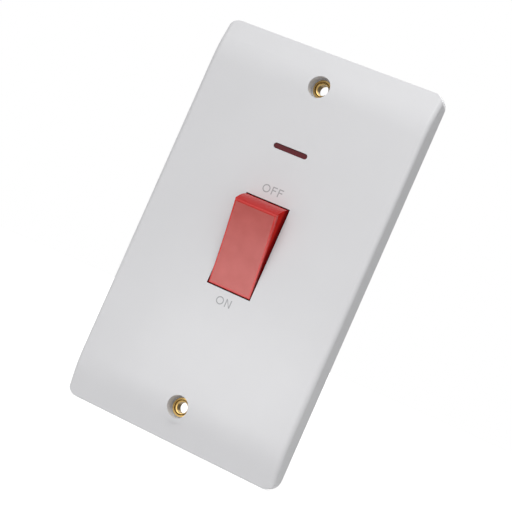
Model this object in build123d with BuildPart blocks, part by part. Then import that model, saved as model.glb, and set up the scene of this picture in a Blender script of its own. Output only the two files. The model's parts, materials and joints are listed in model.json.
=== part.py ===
from build123d import *
import os
from math import atan, cos, degrees, radians, sin, sqrt, tan

# Double pole wall switch on a moulded double plate, for a cooker or shower circuit.
# Millimetres. Origin at the centre of the rim's rear plane, which lies on the wall.
# +Z is up as installed, the user stands on the -Y side, +X is to the user's right.

# Plate
plate_width = 86.0
plate_height = 146.0
plate_depth = 7.5
plate_wall = 2.2
plate_corner_radius = 4.8
plate_side_draft = 0.54
plate_edge_radius = 1.8
plate_end_edge = 4.3
plate_end_radius = 0.5
ramp_angle = 15.0
ramp_length = 7.3
rib_thickness = 1.2
rib_setback = 1.8
long_rib_x = 30.0

# Fixing holes and their eyelets, inset so that they lie on the wall box's standard 120.6 centres
fixing_inset = 12.7
counterbore_radius = 4.0
counterbore_depth = 4.0
fixing_boss_radius = 5.8
eyelet_flange_radius = 3.4
eyelet_flange_thickness = 0.7
eyelet_barrel_radius = 2.6
eyelet_bore_radius = 2.0
eyelet_lead_in = 0.8
eyelet_rolled_radius = 3.3
eyelet_rolled_thickness = 0.4

# Rocker and its pivot, with the rocker's own section drawn at mid swing
rocker_width = 16.9
rocker_radius = 16.9
rocker_face_reach = 6.7
rocker_face_sag = 0.5
rocker_wall = 1.5
rocker_skirt_reach = 4.0
rocker_side_reach = 2.2
rocker_ridge_fillet = 0.5
rocker_swing = 15.0
rocker_side_gap = 0.3
rocker_end_gap = 0.2
pivot_depth = 2.5
trunnion_radius = 1.4
trunnion_length = 2.1
trunnion_clearance = 0.1
rocker_side_half = 12.5
rocker_web = 1.2

# Spring plungers in the rocker
pole_x = 3.9
plunger_radius = 1.6
plunger_clearance = 0.1
plunger_chamfer = 0.3
plunger_length = 10.0
plunger_tip_gap = 0.1
tube_wall = 0.8
tube_reach = 8.3
spring_wire_radius = 0.22
spring_turns = 6

# Contact blades, their fulcrum brackets and the fixed contacts
fulcrum_distance = 14.5
blade_thickness = 1.2
blade_width = 5.0
blade_vee = 14.0
blade_swing = 7.0
upper_arm = 12.5
lower_arm = 10.5
blade_notch_depth = 0.8
blade_notch_height = 2.5
blade_corner_radius = 0.9
stop_radius = 1.6
bracket_overrun = 2.4
strip_margin = 0.3
tip_dome = 0.25
tip_chamfer = 0.15
tip_radius = 1.7
moving_tip_thickness = 0.7
contact_gap = 0.1
strip_thickness = 1.2
strip_width = 5.0
ear_thickness = 0.6
ear_height = 1.6
ear_reach = 2.2

# Terminals
terminal_width = 8.8
terminal_length = 10.4
terminal_bore_radius = 3.0
terminal_bore_y = 4.2
terminal_front_wall = 2.2
terminal_screw_radius = 2.5
block_corner = 0.8
bore_chamfer = 0.4
screw_slot_width = 0.9
screw_slot_depth = 1.2
cross_slot_width = 0.7
cross_depth_share = 0.55
cross_span_share = 1.3
pan_edge_share = 0.45
screw_chamfer = 0.35

# Mechanism base
base_wall = 1.6
base_floor = 2.4
base_front_gap = 0.1
base_corner_radius = 0.5
base_rear_radius = 0.4
cable_clearance = 0.4
driver_clearance = 0.35
cavity_end_gap = 0.9
cavity_side_gap = 0.7
partition_thickness = 1.2
partition_front_y = 4.0
base_shoulder = 1.1
fit_gap = 0.1
boss_radius = 3.2
boss_side_gap = 0.8
boss_end_gap = 0.9
boss_rear_y = 1.5
lug_thickness = 2.4
base_screw_radius = 1.45
base_screw_head_radius = 2.8
base_screw_head_height = 1.9
base_screw_depth = 5.6
screw_gap = 0.05

# How far a cut runs past the faces that it opens
cut_margin = 1.0

# Neon indicator
slit_length = 13.4
slit_height = 2.0
lens_gap = 0.1
lens_recess = 0.3
lens_flange_margin = 1.3
lens_flange_thickness = 1.2
holder_length = 20.0
holder_height = 7.0
holder_gap = 0.9
holder_rear_y = 0.7
holder_wall = 1.0
holder_web = 0.7
peg_x = 11.8
peg_radius = 0.9
peg_rear_y = -3.3
lamp_radius = 1.5
lamp_length = 11.0
resistor_radius = 0.8
resistor_length = 5.0
resistor_x = -1.5
lead_radius = 0.45
lead_x = 8.0
lead_bend = 0.55

# Earth strap and terminal
strap_thickness = 0.8
strap_width = 6.0
strap_x = 22.5
strap_post_z = 32.0
strap_post_radius = 2.6
earth_block_width = 7.6
earth_block_length = 9.0
earth_block_depth = 8.4
earth_bore_radius = 2.2
earth_front_wall = 1.3
earth_screw_radius = 2.0
earth_screw_length = 5.0
strap_corner_radius = 2.0
strap_pad_radius = 5.0

# Places that follow from the sizes above
front_y = -plate_depth
wall_inner_y = front_y + plate_wall
half_height = plate_height / 2
ramp_fall = ramp_length * tan(radians(ramp_angle))
bend_fall = plate_depth - plate_end_edge - ramp_fall
bend_radius = bend_fall / (1 - cos(radians(ramp_angle)))
bend_start_z = half_height - ramp_length - bend_radius * sin(radians(ramp_angle))
draft_angle = degrees(atan(plate_side_draft / plate_depth))
fixing_z = half_height - fixing_inset
fixing_spacing = 2 * fixing_z
counterbore_floor_y = front_y + counterbore_depth + eyelet_flange_thickness
pivot_y = front_y + pivot_depth
trunnion_end = rocker_width / 2 + trunnion_length
aperture_width = rocker_width + 2 * rocker_side_gap
aperture_height = 2 * (rocker_radius + rocker_end_gap)
fulcrum_y = pivot_y + fulcrum_distance
strip_front_y = fulcrum_y + contact_gap
terminal_x = pole_x - strip_width / 2 + terminal_width / 2
floor_y = strip_front_y + strip_thickness
base_rear_y = floor_y + base_floor
base_front_y = wall_inner_y + base_front_gap
cavity_half_height = rocker_radius + cavity_end_gap
cavity_half_width = rocker_width / 2 + cavity_side_gap
terminal_z = cavity_half_height + base_wall + fit_gap + terminal_length / 2
base_half_height = terminal_z + terminal_length / 2 + fit_gap + base_wall
waist_half_width = cavity_half_width + base_wall
base_half_width = max(
    terminal_x + terminal_width / 2 + fit_gap + base_wall, waist_half_width + base_shoulder
)
boss_x = waist_half_width + boss_side_gap + boss_radius
boss_z = cavity_half_height - boss_end_gap - boss_radius
neon_z = base_half_height + holder_gap + holder_height / 2
cross_rib_z = (neon_z + holder_height / 2 + fixing_z - fixing_boss_radius) / 2
flange_rear_y = wall_inner_y + lens_flange_thickness
web_rear_y = flange_rear_y + holder_web
lamp_y = web_rear_y + lamp_radius + screw_gap
strap_front_y = -strap_thickness + eyelet_rolled_thickness / 2
strap_rear_y = strap_front_y + strap_thickness


def tip_reach(share):
    """Pivot to the centre of a round tip that touches its blade, at a share of the half swing."""
    arm = radians(blade_vee - blade_swing * share)
    tilt = radians(rocker_swing * share)
    return (fulcrum_distance * cos(arm) - blade_thickness - plunger_radius) / cos(tilt - arm)


tip_centre = min(tip_reach(step / 20) for step in range(21)) - plunger_tip_gap


def swung(angle, y, x=0):
    """The plane of a piece's side section at x, turned about the X axis through (y, 0)."""
    turn = radians(angle)
    return Plane(origin=(x, y, 0), x_dir=(0, cos(turn), sin(turn)), z_dir=(1, 0, 0))


def save(piece, name):
    piece.part.label = name
    export_step(piece.part, f"parts/{name}.step")


# Front plate: a drafted shell whose two ends turn back towards the wall
def plate_section(wall=0, end_radius=0):
    """Side section of the plate, drawn inside the outer one by the given wall."""
    with BuildSketch(Plane.YZ) as section:
        with BuildLine():
            end = Line((0, half_height), (-plate_end_edge, half_height))
            ramp = Line(end @ 1, (-plate_end_edge - ramp_fall, half_height - ramp_length))
            bend = TangentArc(ramp @ 1, (front_y, bend_start_z), tangent=ramp % 1)
            face = Line(bend @ 1, (front_y, 0))
            middle = Line(face @ 1, (0, 0))
            Line(middle @ 1, end @ 0)
        make_face()
        mirror(about=Plane.XZ)
        if end_radius > 0:
            ends = section.vertices().filter_by(lambda v: abs(v.X + plate_end_edge) < 0.01)
            fillet(ends, radius=end_radius)
        if wall > 0:
            offset(amount=-wall)
            with Locations((-wall / 2, 0)):
                Rectangle(wall + cut_margin, plate_height - 2 * wall)
    return section.sketch


def on_back(x, z, y):
    """A plane at height z and across x that looks out of the wall, at depth y."""
    return Plane(origin=(x, y, z), x_dir=(1, 0, 0), z_dir=(0, 1, 0))


with BuildPart() as hollow:
    with BuildSketch(Plane.XZ.offset(-cut_margin)):
        RectangleRounded(
            plate_width - 2 * plate_wall + 2 * cut_margin * tan(radians(draft_angle)),
            plate_height - 2 * plate_wall,
            plate_corner_radius - plate_wall,
        )
    extrude(amount=plate_depth + cut_margin, taper=draft_angle)
    extrude(plate_section(wall=plate_wall), amount=plate_width, both=True, mode=Mode.INTERSECT)

with BuildPart() as front_plate:
    with BuildSketch(Plane.XZ):
        Rectangle(plate_width, 2 * plate_height)
    extrude(amount=plate_depth, taper=draft_angle)
    extrude(plate_section(), amount=plate_width, both=True, mode=Mode.INTERSECT)
    front_edges = front_plate.edges().filter_by(lambda e: e.center().Y < -plate_end_edge - 0.2)
    fillet(
        front_edges.filter_by(lambda e: abs(e.center().X) > plate_width / 2 - 1),
        radius=plate_edge_radius,
    )
    with BuildSketch(Plane.XZ):
        RectangleRounded(plate_width, plate_height, plate_corner_radius)
    extrude(amount=plate_depth, mode=Mode.INTERSECT)
    extrude(
        plate_section(end_radius=plate_end_radius), amount=plate_width, both=True, mode=Mode.INTERSECT
    )
    add(hollow.part, mode=Mode.SUBTRACT)

    # Stiffening ribs, the bosses of the fixing holes and the posts under the earth strap
    rib_depth = plate_depth - plate_wall / 2 - rib_setback
    with BuildSketch(Plane.XZ.offset(rib_setback)):
        with GridLocations(2 * long_rib_x, 1, 2, 1):
            Rectangle(rib_thickness, 2 * (bend_start_z + plate_wall))
        with GridLocations(1, 2 * cross_rib_z, 1, 2):
            Rectangle(plate_width - plate_wall, rib_thickness)
    extrude(amount=rib_depth)
    with BuildSketch(Plane.XZ.offset(-strap_front_y)):
        with GridLocations(1, fixing_spacing, 1, 2):
            Circle(fixing_boss_radius)
        with Locations((strap_x, strap_post_z), (strap_x, -strap_post_z)):
            Circle(strap_post_radius)
    extrude(amount=plate_depth + strap_front_y - plate_wall / 2)
    with BuildSketch(Plane.XZ.offset(-boss_rear_y)):
        with GridLocations(2 * boss_x, 2 * boss_z, 2, 2):
            Circle(boss_radius)
    extrude(amount=boss_rear_y + plate_depth - plate_wall / 2)
    with BuildSketch(Plane.XZ.offset(-peg_rear_y)):
        with GridLocations(2 * peg_x, 1, 2, 1):
            with Locations((0, neon_z)):
                Circle(peg_radius)
    extrude(amount=peg_rear_y + plate_depth - plate_wall / 2)

    # Aperture, window slit, fixing holes, screw pilots and the half-round seats of the trunnions
    with BuildSketch(Plane.XZ.offset(-cut_margin)):
        Rectangle(aperture_width, aperture_height)
    extrude(amount=plate_depth + 2 * cut_margin, mode=Mode.SUBTRACT)
    with BuildSketch(Plane.XZ.offset(-cut_margin)):
        with Locations((0, neon_z)):
            SlotOverall(slit_length, slit_height)
    extrude(amount=plate_depth + 2 * cut_margin, mode=Mode.SUBTRACT)
    with BuildSketch(Plane.XZ.offset(-cut_margin)):
        with GridLocations(1, fixing_spacing, 1, 2):
            Circle(eyelet_barrel_radius + screw_gap)
    extrude(amount=plate_depth + 2 * cut_margin, mode=Mode.SUBTRACT)
    with BuildSketch(Plane.XZ.offset(-counterbore_floor_y)):
        with GridLocations(1, fixing_spacing, 1, 2):
            Circle(counterbore_radius)
    extrude(amount=plate_depth, mode=Mode.SUBTRACT)
    with BuildSketch(Plane.XZ.offset(-boss_rear_y)):
        with GridLocations(2 * boss_x, 2 * boss_z, 2, 2):
            Circle(base_screw_radius + screw_gap)
    extrude(amount=boss_rear_y - wall_inner_y, mode=Mode.SUBTRACT)
    with BuildSketch(Plane.YZ):
        with Locations((pivot_y, 0)):
            Circle(trunnion_radius + trunnion_clearance)
    extrude(amount=trunnion_end + trunnion_clearance, both=True, mode=Mode.SUBTRACT)
    save(front_plate, "front_plate")

# Rocker: a hollow cap whose end skirts are arcs about its own trunnions
rocker_rest = swung(rocker_swing, pivot_y)
tube_line = Plane(origin=(0, pivot_y, 0), x_dir=(1, 0, 0), z_dir=rocker_rest.x_dir)


def rocker_section(wall, skirt_reach):
    """Side section of the rocker, drawn inside the outer one by the given wall."""
    radius = rocker_radius - wall
    reach = rocker_face_reach - wall
    half_face = sqrt(radius**2 - reach**2)
    half_skirt = sqrt(radius**2 - skirt_reach**2)
    with BuildSketch(rocker_rest) as section:
        with BuildLine():
            face = ThreePointArc(
                (-reach, -half_face), (-reach + rocker_face_sag, 0), (-reach, half_face)
            )
            upper = ThreePointArc(face @ 1, (0, radius), (skirt_reach, half_skirt))
            rear = Line(upper @ 1, (skirt_reach, -half_skirt))
            ThreePointArc(rear @ 1, (0, -radius), face @ 0)
        make_face()
    return section.sketch


with BuildPart() as rocker:
    extrude(rocker_section(0, rocker_skirt_reach), amount=rocker_width / 2, both=True)
    front_face = rocker.faces().filter_by(
        lambda f: f.center().Y < pivot_y - rocker_face_reach / 2 and abs(f.center().Z) < 2
    )
    fillet(front_face.edges(), radius=rocker_ridge_fillet)
    extrude(
        rocker_section(rocker_wall, rocker_skirt_reach + cut_margin),
        amount=rocker_width / 2 - rocker_wall,
        both=True,
        mode=Mode.SUBTRACT,
    )
    with BuildSketch(rocker_rest):
        with Locations((rocker_side_reach + rocker_skirt_reach / 2, 0)):
            Rectangle(rocker_skirt_reach, 2 * rocker_side_half)
    extrude(amount=rocker_width, both=True, mode=Mode.SUBTRACT)
    tube_start = -rocker_face_reach + rocker_face_sag + rocker_wall / 2
    with BuildSketch(tube_line.offset(tube_start)):
        with GridLocations(2 * pole_x, 1, 2, 1):
            Circle(plunger_radius + plunger_clearance + tube_wall)
    extrude(amount=tube_reach - tube_start)
    with BuildSketch(tube_line.offset(tube_start)):
        Rectangle(rocker_width - rocker_wall, rocker_web)
    extrude(amount=rocker_side_reach - tube_start)
    with BuildSketch(tube_line.offset(tube_start + rocker_wall / 2)):
        with GridLocations(2 * pole_x, 1, 2, 1):
            Circle(plunger_radius + plunger_clearance)
    extrude(amount=tube_reach - tube_start, mode=Mode.SUBTRACT)
    with BuildSketch(Plane.YZ.offset(rocker_width / 2 - rocker_wall / 2)):
        with Locations((pivot_y, 0)):
            Circle(trunnion_radius)
    extrude(amount=trunnion_length + rocker_wall / 2)
    with BuildSketch(Plane.YZ.offset(-rocker_width / 2 + rocker_wall / 2)):
        with Locations((pivot_y, 0)):
            Circle(trunnion_radius)
    extrude(amount=-trunnion_length - rocker_wall / 2)
    save(rocker, "rocker")

# Spring plungers: round-nosed pins that slide in the rocker's tubes
plunger_back = tip_centre + plunger_radius - plunger_length
spring_start = tube_start + rocker_wall / 2 + spring_wire_radius
spring_length = plunger_back - spring_start - spring_wire_radius
spring_radius = plunger_radius - spring_wire_radius
poles = (("live", -1), ("neutral", 1))

for pole, side in poles:
    pole_line = Plane(
        origin=(side * pole_x, pivot_y, 0), x_dir=(1, 0, 0), z_dir=rocker_rest.x_dir
    )
    with BuildPart() as plunger:
        with BuildSketch(pole_line.offset(plunger_back)):
            Circle(plunger_radius)
        extrude(amount=plunger_length - plunger_radius)
        with Locations(pole_line.offset(tip_centre)):
            Sphere(plunger_radius)
        back_edge = plunger.edges().filter_by(GeomType.CIRCLE).group_by(Axis.Y)[0]
        chamfer(back_edge, length=plunger_chamfer)
    save(plunger, f"plunger_{pole}")

    with BuildPart() as plunger_spring:
        with BuildLine():
            wire = Helix(
                pitch=spring_length / spring_turns,
                height=spring_length,
                radius=spring_radius,
                center=pole_line.offset(spring_start).origin,
                direction=pole_line.z_dir,
            )
        with BuildSketch(Plane(origin=wire @ 0, z_dir=wire % 0)):
            Circle(spring_wire_radius)
        sweep(path=wire, is_frenet=True)
    save(plunger_spring, f"plunger_spring_{pole}")

# Blades: shallow vees that see-saw on their apexes under the plungers
vee = radians(blade_vee)
arm_back = radians(blade_vee - blade_swing)
tip_place = upper_arm - tip_radius
meeting_y = fulcrum_y - tip_place * sin(arm_back) + moving_tip_thickness * cos(arm_back)
meeting_z = tip_place * cos(arm_back) + moving_tip_thickness * sin(arm_back)


def vee_point(arm, inset):
    """A corner of the blade's section, by its arm's signed length and the depth under its back."""
    along = Vector(-sin(vee) * abs(arm), cos(vee) * arm)
    return along + Vector(-cos(vee), -sin(vee) if arm > 0 else sin(vee)) * inset


for pole, side in poles:
    blade_rest = swung(-blade_swing, fulcrum_y, side * pole_x)
    with BuildPart() as blade:
        with BuildSketch(blade_rest):
            with BuildLine():
                Polyline(
                    (0, 0),
                    vee_point(upper_arm, 0),
                    vee_point(upper_arm, blade_thickness),
                    (-blade_thickness / cos(vee), 0),
                    vee_point(-lower_arm, blade_thickness),
                    vee_point(-lower_arm, 0),
                    close=True,
                )
            make_face()
        extrude(amount=blade_width / 2, both=True)
        for edge in (-1, 1):
            with BuildSketch(blade_rest.offset(edge * blade_width / 2)):
                Rectangle(4 * blade_thickness, blade_notch_height)
            extrude(amount=-edge * blade_notch_depth, mode=Mode.SUBTRACT)
        arm_corners = blade.edges().filter_by(
            lambda e: abs(e.center().Z) > lower_arm * cos(vee + radians(blade_swing)) - 0.5
            and abs(e.length - blade_thickness) < 0.01
        )
        fillet(arm_corners, radius=blade_corner_radius)
    save(blade, f"blade_{pole}")

    arm_plane = Plane(
        origin=(side * pole_x, fulcrum_y - tip_place * sin(arm_back), tip_place * cos(arm_back)),
        x_dir=(1, 0, 0),
        z_dir=(0, cos(arm_back), sin(arm_back)),
    )
    with BuildPart() as blade_tip:
        with BuildSketch(arm_plane):
            Circle(tip_radius)
        extrude(amount=moving_tip_thickness)
        chamfer(blade_tip.edges().sort_by(Axis.Y)[-1], length=tip_chamfer)
    save(blade_tip, f"blade_tip_{pole}")

    # Fixed contact: a flat strip from the load terminal, with a domed silver tip
    inner_x = side * (pole_x - strip_width / 2)
    strip_foot = meeting_z - tip_radius - strip_margin
    strip_head = terminal_z + terminal_length / 2
    pad_foot = terminal_z - terminal_length / 2
    outward = Align.MIN if side > 0 else Align.MAX
    with BuildPart() as fixed_contact:
        with BuildSketch(Plane.XZ.offset(-floor_y)):
            with Locations((inner_x, strip_foot)):
                Rectangle(strip_width, strip_head - strip_foot, align=(outward, Align.MIN))
            with Locations((inner_x, pad_foot)):
                Rectangle(terminal_width, terminal_length, align=(outward, Align.MIN))
            with Locations((side * terminal_x, terminal_z)):
                Circle(terminal_screw_radius + screw_gap, mode=Mode.SUBTRACT)
        extrude(amount=strip_thickness)
    save(fixed_contact, f"fixed_contact_{pole}")

    tip_height = strip_front_y - meeting_y - contact_gap
    with BuildPart() as fixed_tip:
        with BuildSketch(Plane(origin=(side * pole_x, strip_front_y, meeting_z), z_dir=(0, 0, 1))):
            with BuildLine():
                crown = TangentArc((0, -tip_height), (tip_radius, tip_dome - tip_height), tangent=(1, 0))
                Polyline(crown @ 1, (tip_radius, 0), (0, 0), crown @ 0)
            make_face()
        revolve(axis=Axis((side * pole_x, 0, meeting_z), (0, 1, 0)))
    save(fixed_tip, f"fixed_tip_{pole}")

    # Fulcrum bracket: a strip from the supply terminal whose ears keep the blade in place
    stop_reach = lower_arm - stop_radius
    stop_y = fulcrum_y - stop_reach * sin(arm_back) + (contact_gap + stop_radius) * cos(arm_back)
    stop_z = -stop_reach * cos(arm_back) - (contact_gap + stop_radius) * sin(arm_back)
    with BuildPart() as fulcrum_bracket:
        with BuildSketch(Plane.XZ.offset(-floor_y)):
            with Locations((inner_x, -strip_head)):
                Rectangle(strip_width, strip_head + bracket_overrun, align=(outward, Align.MIN))
            with Locations((inner_x, -strip_head)):
                Rectangle(terminal_width, terminal_length, align=(outward, Align.MIN))
            with Locations((side * terminal_x, -terminal_z)):
                Circle(terminal_screw_radius + screw_gap, mode=Mode.SUBTRACT)
        extrude(amount=strip_thickness)
        with BuildSketch(Plane.XZ.offset(-floor_y)):
            with Locations((side * pole_x, 0)):
                with GridLocations(strip_width - ear_thickness, 1, 2, 1):
                    Rectangle(ear_thickness, ear_height)
        extrude(amount=floor_y - strip_front_y + ear_reach)
        with BuildSketch(Plane.YZ.offset(side * pole_x)):
            with Locations((stop_y, stop_z)):
                Circle(stop_radius)
            with Locations((floor_y, stop_z)):
                Rectangle(
                    2 * strip_thickness,
                    2 * stop_radius,
                    align=(Align.MAX, Align.CENTER),
                    mode=Mode.INTERSECT,
                )
        extrude(amount=strip_width / 2, both=True)
    save(fulcrum_bracket, f"fulcrum_bracket_{pole}")

# Terminals: brass blocks with a cable bore up or down and a clamp screw from the back
block_front_y = terminal_bore_y - terminal_bore_radius - terminal_front_wall
terminals = (
    ("load_terminal_live", -1, 1),
    ("load_terminal_neutral", 1, 1),
    ("supply_terminal_live", -1, -1),
    ("supply_terminal_neutral", 1, -1),
)

for name, side, end in terminals:
    middle = Vector(side * terminal_x, 0, end * terminal_z)
    with BuildPart() as terminal:
        with BuildSketch(Plane.XZ.offset(-strip_front_y)):
            with Locations((middle.X, middle.Z)):
                RectangleRounded(terminal_width, terminal_length, block_corner)
        extrude(amount=strip_front_y - block_front_y)
        with BuildSketch(Plane.XY.offset(middle.Z)):
            with Locations((middle.X, terminal_bore_y)):
                Circle(terminal_bore_radius)
        extrude(amount=terminal_length, both=True, mode=Mode.SUBTRACT)
        with BuildSketch(Plane.XZ.offset(-strip_front_y)):
            with Locations((middle.X, middle.Z)):
                Circle(terminal_screw_radius + screw_gap)
        extrude(amount=strip_front_y - terminal_bore_y, mode=Mode.SUBTRACT)
        chamfer(terminal.edges().filter_by(GeomType.CIRCLE).filter_by(
            lambda e: abs(e.radius - terminal_bore_radius) < 0.01
        ), length=bore_chamfer)
    save(terminal, name)


def set_screw(seat, radius, length):
    """A slotted set screw: its end lies on the plane and its shank points against the normal."""
    with BuildPart() as screw:
        with BuildSketch(seat):
            Circle(radius)
        extrude(amount=-length)
        chamfer(screw.edges().filter_by(GeomType.CIRCLE), length=screw_chamfer)
        with BuildSketch(seat):
            Rectangle(screw_slot_width, 3 * radius)
        extrude(amount=-screw_slot_depth, mode=Mode.SUBTRACT)
    return screw.part


def pan_screw(seat, radius, length, head_radius, head_height):
    """A cross-slotted pan-head screw: its head sits on the plane, its shank points against the normal."""
    with BuildPart() as screw:
        with BuildSketch(seat):
            Circle(head_radius)
        extrude(amount=head_height)
        head_edge = screw.edges().filter_by(GeomType.CIRCLE).sort_by(Axis.Y)[-1]
        fillet(head_edge, radius=head_height * pan_edge_share)
        with BuildSketch(seat.offset(head_height)):
            Rectangle(cross_slot_width, cross_span_share * head_radius)
            Rectangle(cross_span_share * head_radius, cross_slot_width)
        extrude(amount=-head_height * cross_depth_share, mode=Mode.SUBTRACT)
        with BuildSketch(seat):
            Circle(radius)
        extrude(amount=-length)
        chamfer(screw.edges().filter_by(GeomType.CIRCLE).sort_by(Axis.Y)[0], length=screw_chamfer)
    return screw.part


terminal_screw_tip_y = terminal_bore_y + terminal_bore_radius + 2 * fit_gap
with BuildPart() as terminal_screws:
    for side in (-1, 1):
        for end in (-1, 1):
            seat = on_back(side * terminal_x, end * terminal_z, base_rear_y)
            add(set_screw(seat, terminal_screw_radius, base_rear_y - terminal_screw_tip_y))
save(terminal_screws, "terminal_screws")

# Mechanism base: a moulded box behind the plate, waisted between its two terminal ends
end_middle_z = (cavity_half_height + base_half_height) / 2
with BuildPart() as mechanism_base:
    with BuildSketch(Plane.XZ.offset(-base_rear_y)):
        Rectangle(2 * waist_half_width, 2 * base_half_height)
        with GridLocations(1, 2 * end_middle_z, 1, 2):
            Rectangle(2 * base_half_width, base_half_height - cavity_half_height)
    extrude(amount=base_rear_y - base_front_y)
    fillet(mechanism_base.edges().filter_by(Axis.Y), radius=base_corner_radius)
    fillet(mechanism_base.faces().sort_by(Axis.Y)[-1].edges(), radius=base_rear_radius)
    with BuildSketch(Plane.XZ.offset(-boss_rear_y - lug_thickness)):
        with GridLocations(2 * boss_x, 2 * boss_z, 2, 2):
            Circle(boss_radius)
        with GridLocations(boss_x + waist_half_width, 2 * boss_z, 2, 2):
            Rectangle(boss_x - waist_half_width + base_wall, 2 * boss_radius)
    extrude(amount=lug_thickness)

    # Rocker cavity, terminal pockets and the windows that the strips pass through
    with BuildSketch(Plane.XZ.offset(-floor_y)):
        Rectangle(2 * cavity_half_width, 2 * cavity_half_height)
        with GridLocations(2 * terminal_x, 2 * terminal_z, 2, 2):
            Rectangle(terminal_width + 2 * fit_gap, terminal_length + 2 * fit_gap)
    extrude(amount=plate_depth + floor_y, mode=Mode.SUBTRACT)
    with BuildSketch(Plane.XZ.offset(-floor_y)):
        with GridLocations(2 * pole_x, 1, 2, 1):
            Rectangle(strip_width + 2 * fit_gap, 2 * terminal_z)
    extrude(amount=strip_thickness + ear_reach + 2 * fit_gap, mode=Mode.SUBTRACT)
    with BuildSketch(Plane.XZ.offset(-floor_y)):
        Rectangle(partition_thickness, 2 * cavity_half_height)
    extrude(amount=floor_y - partition_front_y)

    # Cable holes, screwdriver holes, trunnion seats, screw holes and the neon's wire slots
    cable_radius = terminal_bore_radius + cable_clearance
    for end in (-1, 1):
        with BuildSketch(Plane.XY.offset(end * terminal_z)):
            with GridLocations(2 * terminal_x, 1, 2, 1):
                with Locations((0, terminal_bore_y)):
                    Circle(cable_radius)
        extrude(amount=end * terminal_length, mode=Mode.SUBTRACT)
    with BuildSketch(Plane.XZ.offset(-base_rear_y)):
        with GridLocations(2 * terminal_x, 2 * terminal_z, 2, 2):
            Circle(terminal_screw_radius + driver_clearance)
        with GridLocations(2 * boss_x, 2 * boss_z, 2, 2):
            Circle(base_screw_radius + 2 * fit_gap)
    extrude(amount=base_rear_y - boss_rear_y + cut_margin, mode=Mode.SUBTRACT)
    with BuildSketch(Plane.YZ):
        with Locations((pivot_y, 0)):
            Circle(trunnion_radius + trunnion_clearance)
    extrude(amount=waist_half_width + cut_margin, both=True, mode=Mode.SUBTRACT)
    with BuildSketch(Plane.XZ.offset(-lamp_y - 2 * lead_radius)):
        with GridLocations(2 * lead_x, 1, 2, 1):
            with Locations((0, base_half_height)):
                Rectangle(4 * lead_radius, 3 * base_wall)
    extrude(amount=plate_depth, mode=Mode.SUBTRACT)
save(mechanism_base, "mechanism_base")

with BuildPart() as base_screws:
    for side in (-1, 1):
        for end in (-1, 1):
            seat = on_back(side * boss_x, end * boss_z, boss_rear_y + lug_thickness)
            add(pan_screw(seat, base_screw_radius, base_screw_depth + lug_thickness,
                          base_screw_head_radius, base_screw_head_height))
save(base_screws, "base_screws")

# Neon indicator: a lens in the slit, its holder on two pegs, the lamp, its resistor and wires
with BuildPart() as neon_lens:
    with BuildSketch(Plane.XZ.offset(-wall_inner_y)):
        with Locations((0, neon_z)):
            SlotOverall(slit_length - 2 * lens_gap, slit_height - 2 * lens_gap)
    extrude(amount=plate_wall - lens_recess)
    with BuildSketch(Plane.XZ.offset(-flange_rear_y)):
        with Locations((0, neon_z)):
            Rectangle(slit_length + 2 * lens_flange_margin, slit_height + 2 * lens_flange_margin)
    extrude(amount=lens_flange_thickness)
save(neon_lens, "neon_lens")

with BuildPart() as neon_holder:
    with BuildSketch(Plane.XZ.offset(-holder_rear_y)):
        with Locations((0, neon_z)):
            RectangleRounded(holder_length, holder_height, holder_wall)
    extrude(amount=holder_rear_y - wall_inner_y)
    with BuildSketch(Plane.XZ.offset(-flange_rear_y)):
        with Locations((0, neon_z)):
            SlotOverall(2 * (peg_x + 2 * peg_radius), 4 * peg_radius)
    extrude(amount=lens_flange_thickness)
    with BuildSketch(Plane.XZ.offset(-holder_rear_y)):
        with Locations((0, neon_z)):
            Rectangle(holder_length - 2 * holder_wall, holder_height - 2 * holder_wall)
        with GridLocations(2 * lead_x, 1, 2, 1):
            with Locations((0, neon_z - holder_height / 2)):
                Rectangle(4 * lead_radius, 3 * holder_wall)
    extrude(amount=holder_rear_y - web_rear_y, mode=Mode.SUBTRACT)
    with BuildSketch(Plane.XZ.offset(-flange_rear_y)):
        with Locations((0, neon_z)):
            Rectangle(
                slit_length + 2 * lens_flange_margin + 2 * lens_gap,
                slit_height + 2 * lens_flange_margin + 2 * lens_gap,
            )
    extrude(amount=plate_depth, mode=Mode.SUBTRACT)
    with BuildSketch(Plane.XZ.offset(-web_rear_y)):
        with Locations((0, neon_z)):
            Rectangle(lamp_length, slit_height)
    extrude(amount=plate_depth, mode=Mode.SUBTRACT)
    with BuildSketch(Plane.XZ.offset(-flange_rear_y)):
        with GridLocations(2 * peg_x, 1, 2, 1):
            with Locations((0, neon_z)):
                Circle(peg_radius + screw_gap)
    extrude(amount=plate_depth, mode=Mode.SUBTRACT)
save(neon_holder, "neon_holder")

with BuildPart() as neon_lamp:
    with BuildSketch(Plane.YZ.offset(-lamp_length / 2 + lamp_radius)):
        with Locations((lamp_y, neon_z)):
            Circle(lamp_radius)
    extrude(amount=lamp_length - lamp_radius)
    with Locations((-lamp_length / 2 + lamp_radius, lamp_y, neon_z)):
        Sphere(lamp_radius)
save(neon_lamp, "neon_lamp")

resistor_y = holder_rear_y - resistor_radius
resistor_z = neon_z - holder_height / 2 + holder_wall + resistor_radius + fit_gap
with BuildPart() as neon_resistor:
    with BuildSketch(Plane.YZ.offset(resistor_x)):
        with Locations((resistor_y, resistor_z)):
            Circle(resistor_radius)
    extrude(amount=resistor_length / 2, both=True)
    fillet(neon_resistor.edges().filter_by(GeomType.CIRCLE), radius=resistor_radius / 3)
save(neon_resistor, "neon_resistor")

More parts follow.
